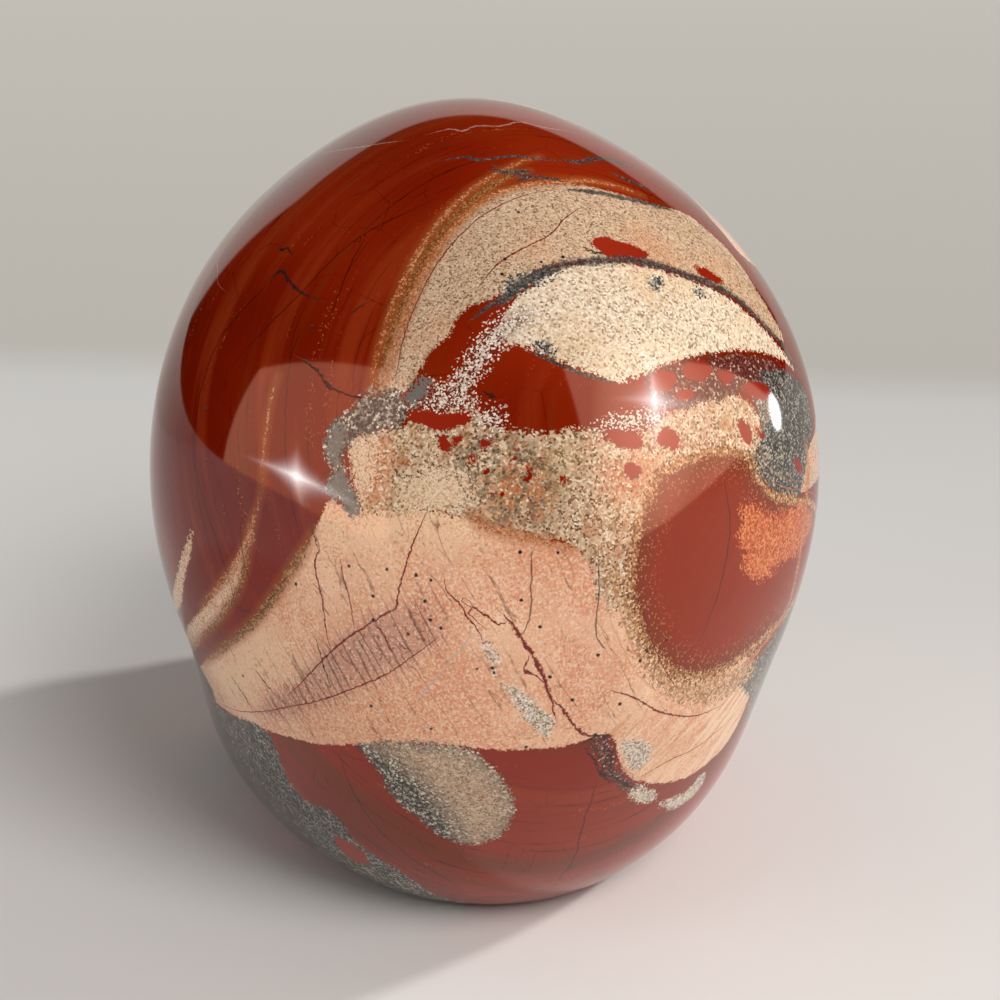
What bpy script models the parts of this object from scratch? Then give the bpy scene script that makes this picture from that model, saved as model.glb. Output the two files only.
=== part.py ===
"""A skull carved from one lump of red jasper, polished all over and ground flat underneath.

The face looks towards -Y, +Z is up and the flat base is at Z = 0, below the middle of the head.
A round blank is ground down to the head's outer form, and the hollows of the face are cut in.
Lengths are in millimetres until the mesh is written, which is in metres.
"""

import math

import bmesh
import bpy
import numpy as np
from mathutils import Vector

METRES = 0.001

# The egg of the head. Each form is (its middle, half its size along X, Y and Z).
HEAD_HEIGHT = 98.0
EGG_HALF = (38.2, 54.0, 52.0)
EGG = ((0.0, 8.0, HEAD_HEIGHT - EGG_HALF[2]), EGG_HALF)
CROWN_BOSS = ((15.8, 8.2, 61.4), (19.9, 26.0, 20.2))
BACK_OF_HEAD = ((0.0, 21.7, 50.7), (39.8, 27.3, 37.3))
NECK = ((0.0, 2.0, 18.0), (33.7, 41.8, 21.8))
FOREHEAD = ((0.0, -18.0, 60.5), (28.0, 32.0, 30.0))

# The heights of the face, above the base, and how far forward its middle stands
BROW_HEIGHT = 63.0
EYE_HEIGHT = 51.5
CHEEK_HEIGHT = 40.0
NOSE_HEIGHT = 36.5
BITE_HEIGHT = 19.5
JAW_HEIGHT = 8.0
FACE_FRONT = -57.0

# The hollows of the face. The nostril is one of two that meet in a heart.
EYE_SOCKET = ((16.3, -56.0, EYE_HEIGHT), (11.8, 18.0, 10.4))
NOSTRIL = ((3.4, FACE_FRONT - 1.0, NOSE_HEIGHT), (4.4, 10.5, 8.8))
TEMPLE = ((51.0, -27.0, 58.0), (20.0, 19.0, 15.0))
UNDER_CHEEK = ((38.0, -34.0, 25.5), (16.0, 18.0, 9.0))

# The teeth stand in two rows on one arch
ARCH_RADIUS = 19.0
ARCH_MIDDLE_Y = FACE_FRONT + ARCH_RADIUS
TEETH_EACH_SIDE = 4
TOOTH_WIDTH = 4.9
TOOTH_HEIGHT = 8.4
TOOTH_HALF_DEPTH = 3.5
TOOTH_SINKS_IN = 2.3

BASE_RIM = 2.0

# The blank is ground towards one point. Its faces are smaller in the face, and smallest at the teeth.
GRIND_MIDDLE = np.array((0.0, 2.0, 47.0))
FARTHEST_REACH = 75.0
BLANK_FACES = 22
FINER_PLACES = (
    {"half_width": 31.0, "heights": (3.0, 69.0), "front_of": -20.0},
    {"half_width": 18.5, "heights": (9.0, 30.0), "front_of": -37.0},
)

JASPER_RED = (0.36, 0.055, 0.03, 1.0)


def ellipsoid(p, middle, half, tilt=0.0):
    """Distance from points to an ellipsoid, less than 0 inside. tilt turns it about Y, in degrees."""
    q = p - np.array(middle)
    if tilt:
        c, s = math.cos(math.radians(tilt)), math.sin(math.radians(tilt))
        q = np.stack((c * q[:, 0] + s * q[:, 2], q[:, 1], c * q[:, 2] - s * q[:, 0]), axis=1)
    half = np.array(half)
    near = np.linalg.norm(q / half, axis=1)
    steep = np.linalg.norm(q / half**2, axis=1)
    return near * (near - 1.0) / np.maximum(steep, 1e-9)


def bar(p, start, end, radius):
    """Distance from points to a round bar with domed ends."""
    start, end = np.array(start), np.array(end)
    along = np.clip((p - start) @ (end - start) / ((end - start) @ (end - start)), 0.0, 1.0)
    return np.linalg.norm(p - start - along[:, None] * (end - start), axis=1) - radius


def join(a, b, blend):
    """The two forms together, with a fillet about as wide as blend between them."""
    h = np.maximum(blend - np.abs(a - b), 0.0) / blend
    return np.minimum(a, b) - h * h * blend / 4.0


def cut(a, b, blend):
    """The first form less the second, with the edge rounded over about blend."""
    return -join(-a, b, blend)


def egg_of_the_head(p, right):
    """The smooth round of the head, from the forehead over the crown to the neck."""
    left = right * np.array((-1.0, 1.0, 1.0))
    form = join(ellipsoid(right, *CROWN_BOSS), ellipsoid(left, *CROWN_BOSS), 16.0)
    form = join(ellipsoid(p, *EGG), form, 16.0)
    form = join(form, ellipsoid(p, *BACK_OF_HEAD), 14.0)
    form = join(form, ellipsoid(p, *NECK), 14.0)
    return join(form, ellipsoid(p, *FOREHEAD), 8.0)


def face_bones(p, right):
    """The brows, the bridge of the nose, the upper jaw and the cheekbones with their arches."""
    form = ellipsoid(p, (0.0, -25.0, 37.0), (29.0, 28.0, 29.0))
    form = join(form, ellipsoid(p, (0.0, -37.0, 24.0), (18.5, 19.0, 19.0)), 5.0)
    brow_peak = (15.5, -47.5, BROW_HEIGHT + 1.5)
    form = join(form, bar(right, (3.0, -49.0, BROW_HEIGHT - 1.5), brow_peak, 4.2), 8.0)
    form = join(form, bar(right, brow_peak, (29.0, -35.0, BROW_HEIGHT - 4.5), 4.0), 8.0)
    form = join(form, bar(p, (0.0, -49.0, BROW_HEIGHT - 3.0), (0.0, -54.5, NOSE_HEIGHT + 11.0), 3.8), 6.0)
    cheek_corner = (28.5, -37.5, CHEEK_HEIGHT)
    form = join(form, bar(right, (15.0, -49.0, CHEEK_HEIGHT - 2.0), cheek_corner, 4.8), 6.0)
    return join(form, bar(right, cheek_corner, (36.0, -6.0, CHEEK_HEIGHT + 5.0), 3.8), 6.0)


def lower_jaw(p, right):
    """The bar of the jaw, its rise to the ear, and the chin."""
    form = ellipsoid(p, (0.0, -47.5, JAW_HEIGHT), (12.5, 10.0, 10.0))
    form = join(form, bar(right, (7.0, -47.5, JAW_HEIGHT), (25.6, -15.0, JAW_HEIGHT + 2.0), 8.3), 6.0)
    return join(form, bar(right, (26.4, -14.0, JAW_HEIGHT + 4.0), (32.0, -3.0, 36.0), 6.2), 8.0)


def teeth(right, row_height):
    """One row of teeth, each a small upright ellipsoid, evenly spaced on the arch."""
    angle_step = TOOTH_WIDTH / ARCH_RADIUS
    y = right[:, 1] - ARCH_MIDDLE_Y
    angle = np.arctan2(right[:, 0], -y)
    place = np.clip(np.floor(angle / angle_step), 0, TEETH_EACH_SIDE - 1) + 0.5
    across = (angle - place * angle_step) * ARCH_RADIUS
    outward = np.hypot(right[:, 0], y) - (ARCH_RADIUS - TOOTH_SINKS_IN)
    local = np.stack((across, outward, right[:, 2] - row_height), axis=1)
    return ellipsoid(local, (0.0, 0.0, 0.0), (TOOTH_WIDTH * 0.56, TOOTH_HALF_DEPTH, TOOTH_HEIGHT / 2))


def carving(p):
    """Distance from points to the whole carving, less than 0 inside. right has both halves as one."""
    right = np.column_stack((np.abs(p[:, 0]), p[:, 1:]))
    form = join(face_bones(p, right), lower_jaw(p, right), 6.0)
    form = join(egg_of_the_head(p, right), form, 8.0)
    form = cut(form, ellipsoid(right, *TEMPLE), 10.0)
    form = cut(form, ellipsoid(right, *UNDER_CHEEK), 6.0)
    for row_height in (BITE_HEIGHT + TOOTH_HEIGHT / 2, BITE_HEIGHT - TOOTH_HEIGHT / 2):
        form = join(form, teeth(right, row_height), 1.0)
    form = cut(form, ellipsoid(right, *EYE_SOCKET, tilt=9.0), 3.0)
    form = cut(form, ellipsoid(right, *NOSTRIL, tilt=13.0), 1.6)
    return cut(form, p[:, 2], BASE_RIM)


def ground_down(directions):
    """The point where each line from the grinding middle leaves the outside of the carving."""
    reach = np.full(len(directions), FARTHEST_REACH)
    for _ in range(60):
        reach -= 0.6 * np.maximum(carving(GRIND_MIDDLE + directions * reach[:, None]), 0.0)
    outside, inside = reach + 0.05, reach - 1.5
    for _ in range(14):
        middle = (outside + inside) / 2
        solid = carving(GRIND_MIDDLE + directions * middle[:, None]) < 0
        inside, outside = np.where(solid, middle, inside), np.where(solid, outside, middle)
    return GRIND_MIDDLE + directions * inside[:, None]


def round_blank(faces_on_an_edge):
    """A cube cut into a grid and rounded to a ball, with faces of even size."""
    bm = bmesh.new()
    bmesh.ops.create_cube(bm, size=2.0)
    bmesh.ops.subdivide_edges(bm, edges=bm.edges[:], cuts=faces_on_an_edge - 1, use_grid_fill=True)
    for v in bm.verts:
        v.co = Vector(math.tan(c * math.pi / 4) for c in v.co)
    return bm


def grind(bm, middle):
    """Moves every vertex onto the carving, along its own line from the grinding middle."""
    directions = np.array([v.co - middle for v in bm.verts])
    directions /= np.linalg.norm(directions, axis=1)[:, None]
    for v, place in zip(bm.verts, ground_down(directions)):
        v.co = place


def make_finer(bm, half_width, heights, front_of):
    """Halves the edges of the faces in one part of the face."""
    chosen = set()
    for f in bm.faces:
        c = f.calc_center_median()
        if c.y < front_of and abs(c.x) < half_width and heights[0] < c.z < heights[1]:
            chosen.update(f.edges)
    bmesh.ops.subdivide_edges(bm, edges=list(chosen), cuts=1, use_grid_fill=True)


def flat_base(bm):
    """Makes the ground underside one flat face."""
    flat = [f for f in bm.faces if all(v.co.z < 0.02 for v in f.verts)]
    for v in {v for f in flat for v in f.verts}:
        v.co.z = 0.0
    bmesh.ops.dissolve_faces(bm, faces=flat, use_verts=True)


def jasper():
    """Polished red jasper."""
    material = bpy.data.materials.new("red_jasper")
    material.use_nodes = True
    shader = material.node_tree.nodes["Principled BSDF"]
    shader.inputs["Base Color"].default_value = JASPER_RED
    shader.inputs["Roughness"].default_value = 0.08
    shader.inputs["Metallic"].default_value = 0.0
    return material


def skull():
    """The carving, one closed solid."""
    bm = round_blank(BLANK_FACES)
    grind(bm, Vector())
    for place in FINER_PLACES:
        make_finer(bm, **place)
        grind(bm, Vector(GRIND_MIDDLE))
    flat_base(bm)
    for v in bm.verts:
        v.co *= METRES
    mesh = bpy.data.meshes.new("skull")
    bm.to_mesh(mesh)
    bm.free()
    mesh.shade_smooth()
    mesh.materials.append(jasper())
    bpy.context.scene.collection.objects.link(bpy.data.objects.new("skull", mesh))


for old in list(bpy.data.objects):
    bpy.data.objects.remove(old)
skull()
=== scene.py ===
"""The looks of a skull carved from one lump of red jasper, on a plain pale table.

The skull's own form is a set of rounded solids joined and cut in millimetres. Its markings are
outlines and lines laid on the stone as the photograph shows them, each a few points in pixels of
the 1000 x 1000 photograph.
"""

import math

import bmesh
import bpy
import numpy as np
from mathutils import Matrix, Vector, noise


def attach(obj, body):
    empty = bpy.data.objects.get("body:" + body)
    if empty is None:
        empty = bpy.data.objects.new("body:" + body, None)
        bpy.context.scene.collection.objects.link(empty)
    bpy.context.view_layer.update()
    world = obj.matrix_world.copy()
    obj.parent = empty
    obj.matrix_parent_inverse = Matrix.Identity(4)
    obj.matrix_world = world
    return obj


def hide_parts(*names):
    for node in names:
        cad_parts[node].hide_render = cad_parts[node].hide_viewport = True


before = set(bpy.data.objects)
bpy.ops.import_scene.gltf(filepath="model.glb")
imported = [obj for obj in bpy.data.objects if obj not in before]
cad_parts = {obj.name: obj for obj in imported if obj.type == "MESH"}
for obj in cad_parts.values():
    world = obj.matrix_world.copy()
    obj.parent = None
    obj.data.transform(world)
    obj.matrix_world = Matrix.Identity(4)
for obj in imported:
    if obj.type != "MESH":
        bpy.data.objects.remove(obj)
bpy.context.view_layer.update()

# The camera stands behind the skull and a little above it, a forearm's length away. It is made first,
# because the markings are read from the photograph through it.
MM = 0.001
PHOTO_SIZE = 1000
VIEW_ANGLE = math.radians(22.0)
PIXELS_PER_UNIT = PHOTO_SIZE / 2 / math.tan(VIEW_ANGLE / 2)
CAMERA_TURN = math.radians(8.93)
CAMERA_RISE = math.radians(20.0)
CAMERA_DISTANCE = 352.8
AIM = np.array((-4.65, 0.0, 41.8))

to_camera = np.array((
    math.sin(CAMERA_TURN) * math.cos(CAMERA_RISE),
    math.cos(CAMERA_TURN) * math.cos(CAMERA_RISE),
    math.sin(CAMERA_RISE),
))
eye = AIM + to_camera * CAMERA_DISTANCE
photo_right = np.array((-math.cos(CAMERA_TURN), math.sin(CAMERA_TURN), 0.0))
photo_up = np.cross(photo_right, -to_camera)

camera = bpy.data.objects.new("camera", bpy.data.cameras.new("camera"))
camera.data.sensor_width = 36.0
camera.data.lens = 18.0 / math.tan(VIEW_ANGLE / 2)
camera.data.clip_start = 0.01
camera.location = Vector(eye) * MM
camera.rotation_mode = "QUATERNION"
camera.rotation_quaternion = Vector(-to_camera).to_track_quat("-Z", "Y")
bpy.context.scene.collection.objects.link(camera)
bpy.context.scene.camera = camera

# The skull: one piece of stone, sawn, ground down to a head and polished until it mirrors the room.
# Its form is given once, as the distance to rounded solids, and a fine round blank is ground onto it
# towards one point inside. Lengths are in millimetres until the mesh is made.
HEAD_HEIGHT = 98.0
EGG_HALF = (38.2, 54.0, 52.0)
EGG = ((0.0, 8.0, HEAD_HEIGHT - EGG_HALF[2]), EGG_HALF)
CROWN_BOSS = ((15.8, 8.2, 61.4), (19.9, 26.0, 20.2))
BACK_OF_HEAD = ((0.0, 21.7, 50.7), (39.8, 27.3, 37.3))
NECK = ((0.0, 2.0, 18.0), (33.7, 41.8, 21.8))
FOREHEAD = ((0.0, -18.0, 60.5), (28.0, 32.0, 30.0))
BROW_HEIGHT = 63.0
EYE_HEIGHT = 51.5
CHEEK_HEIGHT = 40.0
NOSE_HEIGHT = 36.5
BITE_HEIGHT = 19.5
JAW_HEIGHT = 8.0
FACE_FRONT = -57.0
EYE_SOCKET = ((16.3, -56.0, EYE_HEIGHT), (11.8, 18.0, 10.4))
NOSTRIL = ((3.4, FACE_FRONT - 1.0, NOSE_HEIGHT), (4.4, 10.5, 8.8))
TEMPLE = ((51.0, -27.0, 58.0), (20.0, 19.0, 15.0))
UNDER_CHEEK = ((38.0, -34.0, 25.5), (16.0, 18.0, 9.0))
ARCH_RADIUS = 19.0
ARCH_MIDDLE_Y = FACE_FRONT + ARCH_RADIUS
TEETH_EACH_SIDE = 4
TOOTH_WIDTH = 4.9
TOOTH_HEIGHT = 8.4
TOOTH_HALF_DEPTH = 3.5
TOOTH_SINKS_IN = 2.3
BASE_RIM = 2.0
GRIND_MIDDLE = np.array((0.0, 2.0, 47.0))
FARTHEST_REACH = 75.0
BLANK_FACES = 128


def ellipsoid(p, middle, half, tilt=0.0):
    """Distance from points to an ellipsoid, less than 0 inside. tilt turns it about Y, in degrees."""
    q = p - np.array(middle)
    if tilt:
        c, s = math.cos(math.radians(tilt)), math.sin(math.radians(tilt))
        q = np.stack((c * q[:, 0] + s * q[:, 2], q[:, 1], c * q[:, 2] - s * q[:, 0]), axis=1)
    half = np.array(half)
    near = np.linalg.norm(q / half, axis=1)
    steep = np.linalg.norm(q / half**2, axis=1)
    return near * (near - 1.0) / np.maximum(steep, 1e-9)


def bar(p, start, end, radius):
    """Distance from points to a round bar with domed ends."""
    start, end = np.array(start), np.array(end)
    along = np.clip((p - start) @ (end - start) / ((end - start) @ (end - start)), 0.0, 1.0)
    return np.linalg.norm(p - start - along[:, None] * (end - start), axis=1) - radius


def join(a, b, blend):
    """The two forms together, with a fillet about as wide as blend between them."""
    h = np.maximum(blend - np.abs(a - b), 0.0) / blend
    return np.minimum(a, b) - h * h * blend / 4.0


def cut(a, b, blend):
    """The first form less the second, with the edge rounded over about blend."""
    return -join(-a, b, blend)


def egg_of_the_head(p, right):
    """The smooth round of the head, from the forehead over the crown to the neck."""
    left = right * np.array((-1.0, 1.0, 1.0))
    form = join(ellipsoid(right, *CROWN_BOSS), ellipsoid(left, *CROWN_BOSS), 16.0)
    form = join(ellipsoid(p, *EGG), form, 16.0)
    form = join(form, ellipsoid(p, *BACK_OF_HEAD), 14.0)
    form = join(form, ellipsoid(p, *NECK), 14.0)
    return join(form, ellipsoid(p, *FOREHEAD), 8.0)


def face_bones(p, right):
    """The brows, the bridge of the nose, the upper jaw and the cheekbones with their arches."""
    form = ellipsoid(p, (0.0, -25.0, 37.0), (29.0, 28.0, 29.0))
    form = join(form, ellipsoid(p, (0.0, -37.0, 24.0), (18.5, 19.0, 19.0)), 5.0)
    brow_peak = (15.5, -47.5, BROW_HEIGHT + 1.5)
    form = join(form, bar(right, (3.0, -49.0, BROW_HEIGHT - 1.5), brow_peak, 4.2), 8.0)
    form = join(form, bar(right, brow_peak, (29.0, -35.0, BROW_HEIGHT - 4.5), 4.0), 8.0)
    form = join(form, bar(p, (0.0, -49.0, BROW_HEIGHT - 3.0), (0.0, -54.5, NOSE_HEIGHT + 11.0), 3.8), 6.0)
    cheek_corner = (28.5, -37.5, CHEEK_HEIGHT)
    form = join(form, bar(right, (15.0, -49.0, CHEEK_HEIGHT - 2.0), cheek_corner, 4.8), 6.0)
    return join(form, bar(right, cheek_corner, (36.0, -6.0, CHEEK_HEIGHT + 5.0), 3.8), 6.0)


def lower_jaw(p, right):
    """The bar of the jaw, its rise to the ear, and the chin."""
    form = ellipsoid(p, (0.0, -47.5, JAW_HEIGHT), (12.5, 10.0, 10.0))
    form = join(form, bar(right, (7.0, -47.5, JAW_HEIGHT), (25.6, -15.0, JAW_HEIGHT + 2.0), 8.3), 6.0)
    return join(form, bar(right, (26.4, -14.0, JAW_HEIGHT + 4.0), (32.0, -3.0, 36.0), 6.2), 8.0)


def teeth(right, row_height):
    """One row of teeth, each a small upright ellipsoid, evenly spaced on the arch."""
    angle_step = TOOTH_WIDTH / ARCH_RADIUS
    y = right[:, 1] - ARCH_MIDDLE_Y
    angle = np.arctan2(right[:, 0], -y)
    place = np.clip(np.floor(angle / angle_step), 0, TEETH_EACH_SIDE - 1) + 0.5
    across = (angle - place * angle_step) * ARCH_RADIUS
    outward = np.hypot(right[:, 0], y) - (ARCH_RADIUS - TOOTH_SINKS_IN)
    local = np.stack((across, outward, right[:, 2] - row_height), axis=1)
    return ellipsoid(local, (0.0, 0.0, 0.0), (TOOTH_WIDTH * 0.56, TOOTH_HALF_DEPTH, TOOTH_HEIGHT / 2))


def carving(p):
    """Distance from points to the whole carving, less than 0 inside. right has both halves as one."""
    right = np.column_stack((np.abs(p[:, 0]), p[:, 1:]))
    form = join(face_bones(p, right), lower_jaw(p, right), 6.0)
    form = join(egg_of_the_head(p, right), form, 8.0)
    form = cut(form, ellipsoid(right, *TEMPLE), 10.0)
    form = cut(form, ellipsoid(right, *UNDER_CHEEK), 6.0)
    for row_height in (BITE_HEIGHT + TOOTH_HEIGHT / 2, BITE_HEIGHT - TOOTH_HEIGHT / 2):
        form = join(form, teeth(right, row_height), 1.0)
    form = cut(form, ellipsoid(right, *EYE_SOCKET, tilt=9.0), 3.0)
    form = cut(form, ellipsoid(right, *NOSTRIL, tilt=13.0), 1.6)
    return cut(form, p[:, 2], BASE_RIM)


def ground_down(directions):
    """The point where each line from the grinding middle leaves the outside of the carving."""
    reach = np.full(len(directions), FARTHEST_REACH)
    for _ in range(60):
        reach -= 0.6 * np.maximum(carving(GRIND_MIDDLE + directions * reach[:, None]), 0.0)
    outside, inside = reach + 0.05, reach - 1.5
    for _ in range(14):
        middle = (outside + inside) / 2
        solid = carving(GRIND_MIDDLE + directions * middle[:, None]) < 0
        inside, outside = np.where(solid, middle, inside), np.where(solid, outside, middle)
    return GRIND_MIDDLE + directions * inside[:, None]


stone = bmesh.new()
bmesh.ops.create_cube(stone, size=2.0)
bmesh.ops.subdivide_edges(stone, edges=stone.edges[:], cuts=BLANK_FACES - 1, use_grid_fill=True)
blank = np.array([v.co for v in stone.verts])
blank = np.tan(blank * math.pi / 4)
blank /= np.linalg.norm(blank, axis=1)[:, None]
places = ground_down(blank)
places[places[:, 2] < 0.02, 2] = 0.0
for v, place in zip(stone.verts, places):
    v.co = place

# A chart is the stone's skin laid flat round one direction, so that a marking keeps its size from the
# middle to the edge. The back has the photograph's own chart, and the face has one seen from in front.
CHART_RADIUS = 50.0
PAST_THE_EDGE = 1.6
BACK_CHART = (photo_right, photo_up, to_camera)
FACE_CHART = (np.array((1.0, 0.0, 0.0)), np.array((0.0, 0.0, 1.0)), np.array((0.0, -1.0, 0.0)))


def chart(p, directions):
    """Lays points of the stone flat, in millimetres right and up from the middle of a chart."""
    d = p - GRIND_MIDDLE
    d /= np.linalg.norm(d, axis=1)[:, None]
    right, up, out = (d @ direction for direction in directions)
    stretch = CHART_RADIUS * np.arccos(np.clip(out, -1.0, 1.0)) / np.maximum(np.hypot(right, up), 1e-6)
    return np.stack((right * stretch, up * stretch), axis=1)


def on_stone(pixels):
    """Where pixels of the photograph fall on the stone, and how far past its edge in millimetres."""
    pixels = np.array(pixels, dtype=float)
    middle = PHOTO_SIZE / 2
    rays = np.outer((pixels[:, 0] - middle) / PIXELS_PER_UNIT, photo_right) - to_camera
    rays += np.outer((middle - pixels[:, 1]) / PIXELS_PER_UNIT, photo_up)
    rays /= np.linalg.norm(rays, axis=1)[:, None]
    depths = np.arange(CAMERA_DISTANCE - 75.0, CAMERA_DISTANCE + 45.0, 1.0)
    along = eye + rays[:, None, :] * depths[None, :, None]
    gaps = carving(along.reshape(-1, 3)).reshape(len(pixels), len(depths))
    hits = (gaps < 0).any(axis=1)
    first = np.where(hits, (gaps < 0).argmax(axis=1), gaps.argmin(axis=1))
    near, far = depths[np.maximum(first - 1, 0)], depths[first]
    for _ in range(8):
        half = (near + far) / 2
        solid = carving(eye + rays * half[:, None]) < 0
        near, far = np.where(solid, near, half), np.where(solid, half, far)
    past = np.where(hits, 0.0, gaps[np.arange(len(pixels)), first])
    return eye + rays * np.where(hits, far, depths[first])[:, None], past


def on_back(pixels):
    """Where pixels of the photograph fall on the back's chart. One past the edge lies round the side."""
    struck, past = on_stone(pixels)
    flat = chart(struck, BACK_CHART)
    return flat * (1.0 + past * PAST_THE_EDGE / np.linalg.norm(flat, axis=1))[:, None]


def smooth(points, closed, steps=5):
    """A smooth curve through a few points."""
    if closed:
        before, after, later = np.roll(points, 1, 0), np.roll(points, -1, 0), np.roll(points, -2, 0)
        here = points
    else:
        padded = np.vstack((2 * points[0] - points[1], points, 2 * points[-1] - points[-2]))
        before, here, after, later = padded[:-3], padded[1:-2], padded[2:-1], padded[3:]
    t = np.linspace(0.0, 1.0, steps, endpoint=False)[None, :, None]
    a, b, c, d = (q[:, None, :] for q in (before, here, after, later))
    curve = b + t * (c - a) / 2 + t**2 * (a - 2.5 * b + 2 * c - d / 2) + t**3 * (1.5 * (b - c) + (d - a) / 2)
    curve = curve.reshape(-1, 2)
    return curve if closed else np.vstack((curve, points[-1:]))


# The face's chart is shifted a little from place to place, so that outlines with few points waver there.
SHIFTS = ((0.07, 2.6), (0.28, 0.9))
back_spots = chart(places, BACK_CHART)
face_spots = chart(places, FACE_CHART)
for fineness, size in SHIFTS:
    face_spots += size * np.array([noise.noise_vector(Vector(p) * fineness)[:2] for p in places])
FAR_AWAY = 9.0


def near_to(outline, spots):
    """Which points of the stone are close enough to an outline to need measuring."""
    low, high = outline.min(axis=0) - FAR_AWAY, outline.max(axis=0) + FAR_AWAY
    return np.flatnonzero(((spots > low) & (spots < high)).all(axis=1))


def laid_out(back, face, closed):
    """Each marking as a smooth curve, with the chart that it is drawn on."""
    curves = [(smooth(on_back(pixels), closed), back_spots) for pixels in back]
    return curves + [(smooth(np.array(points, dtype=float), closed), face_spots) for points in face]


def store(name, values):
    """Keeps a number for each point of the stone, for the material to read."""
    layer = stone.verts.layers.float.new(name)
    for v, value in zip(stone.verts, values):
        v[layer] = value


def patches(name, back, face=()):
    """Stores how far inside the nearest of these outlines each point is, less than 0 outside.

    Outlines on the back are in pixels, and those on the face in millimetres of its chart.
    """
    distance = np.full(len(places), -FAR_AWAY)
    for outline, spots in laid_out(back, face, closed=True):
        chosen = near_to(outline, spots)
        where = spots[chosen]
        gap = np.full(len(where), FAR_AWAY**2)
        within = np.zeros(len(where), dtype=bool)
        for start, end in zip(outline, np.roll(outline, -1, axis=0)):
            edge = end - start
            t = np.clip((where - start) @ edge / max(edge @ edge, 1e-9), 0.0, 1.0)
            gap = np.minimum(gap, ((where - start - t[:, None] * edge) ** 2).sum(axis=1))
            crosses = (start[1] > where[:, 1]) != (end[1] > where[:, 1])
            rise = edge[1] if edge[1] else 1e-9
            within ^= crosses & (where[:, 0] < start[0] + (where[:, 1] - start[1]) * edge[0] / rise)
        distance[chosen] = np.maximum(distance[chosen], np.where(within, 1.0, -1.0) * np.sqrt(gap))
    store(name, distance)


def veins(name, back, face=()):
    """Stores the distance to the nearest line twice: with its side as a sign, and less half its width.

    A line is its width in millimetres and its points. It thins out towards its ends.
    """
    side = np.full(len(places), FAR_AWAY)
    reach = np.full(len(places), FAR_AWAY)
    curves = laid_out([points for _, points in back], [points for _, points in face], closed=False)
    widths = [width for width, _ in (*back, *face)]
    for width, (line, spots) in zip(widths, curves):
        chosen = near_to(line, spots)
        where = spots[chosen]
        for i, (start, end) in enumerate(zip(line, line[1:])):
            edge = end - start
            t = np.clip((where - start) @ edge / max(edge @ edge, 1e-9), 0.0, 1.0)
            gap = np.linalg.norm(where - start - t[:, None] * edge, axis=1)
            across = (where[:, 0] - start[0]) * edge[1] - (where[:, 1] - start[1]) * edge[0]
            across /= max(math.hypot(*edge), 1e-9)
            share = (i + t) / (len(line) - 1)
            half = width / 2 * (1.0 - np.abs(2 * share - 1.0) ** 4) + 0.02
            closer = gap - half < reach[chosen]
            reach[chosen[closer]] = (gap - half)[closer]
            side[chosen[closer]] = (across / half)[closer]
    store(name + "_side", side)
    store(name + "_reach", reach)


# The red is laid down in beds, each a shell round the line from the middle of the stone through the
# middle of the arch. A bed's number is its distance round the stone from that line.
BEDS_MIDDLE = [(620, 420)]
struck, _ = on_stone(BEDS_MIDDLE)
beds_line = (struck[0] - GRIND_MIDDLE) / np.linalg.norm(struck[0] - GRIND_MIDDLE)
outward = (places - GRIND_MIDDLE) / np.linalg.norm(places - GRIND_MIDDLE, axis=1)[:, None]
store("beds", CHART_RADIUS * np.arccos(np.clip(outward @ beds_line, -1.0, 1.0)))

# The pale sands fill the arch over the middle of the back: fine tan sand inside its rim, a coarse cream
# dome under a dark line, and a coarse brown sand below, which runs on round the red oval. On the face
# they run over the temple to the brow, and the cream lies on the forehead.
patches("tan_sand", [
    [(374, 392), (384, 360), (396, 322), (414, 284), (437, 246), (462, 216), (490, 195), (530, 185),
     (572, 184), (612, 192), (650, 204), (686, 214), (710, 233), (735, 258), (760, 296), (784, 340),
     (770, 332), (748, 308), (722, 288), (690, 274), (655, 263), (610, 259), (568, 262), (535, 270),
     (508, 292), (486, 300), (462, 312), (448, 336), (430, 352), (418, 374), (404, 392)],
], [
    [(-112, 34), (-92, 32), (-72, 38), (-50, 43), (-30, 38), (-13, 27), (-3, 15), (-14, 15), (-26, 22),
     (-46, 25), (-68, 18), (-90, 14), (-112, 20)],
    [(8, 62), (24, 65), (42, 58), (58, 43), (70, 26), (76, 4), (67, -2), (60, 14), (53, 28), (40, 41),
     (28, 51), (12, 55)],
])
patches("cream_sand", [
    [(500, 338), (508, 312), (526, 288), (556, 270), (600, 263), (645, 266), (690, 281), (725, 296),
     (752, 318), (778, 346), (795, 372), (784, 360), (752, 350), (716, 352), (690, 358), (664, 366),
     (640, 375), (618, 381), (588, 372), (556, 360), (526, 348)],
], [
    [(-16, 44), (-4, 31), (14, 26), (31, 31), (41, 44), (33, 57), (14, 63), (-7, 58)],
])
patches("brown_sand", [
    [(352, 436), (400, 426), (440, 416), (475, 410), (488, 425), (534, 432), (590, 430), (612, 442),
     (640, 436), (664, 416), (690, 400), (730, 392), (756, 412), (764, 440), (752, 462), (728, 456),
     (700, 462), (670, 474), (654, 496), (642, 530), (636, 570), (624, 612), (600, 600), (588, 560),
     (560, 542), (520, 534), (480, 524), (430, 512), (366, 512), (354, 480)],
], [
    [(-112, 4), (-92, 0), (-72, 6), (-56, 8), (-40, -2), (-29, -9), (-20, -20), (-27, -27), (-36, -26),
     (-52, -24), (-70, -15), (-90, -16), (-112, -12)],
    [(22, -12), (34, -8), (47, -10), (58, -4), (70, -8), (64, -18), (48, -22), (30, -20)],
])
patches("ore_stain", [
    [(455, 446), (484, 432), (520, 440), (548, 462), (556, 496), (540, 520), (505, 524), (476, 508),
     (456, 480)],
])
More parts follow.
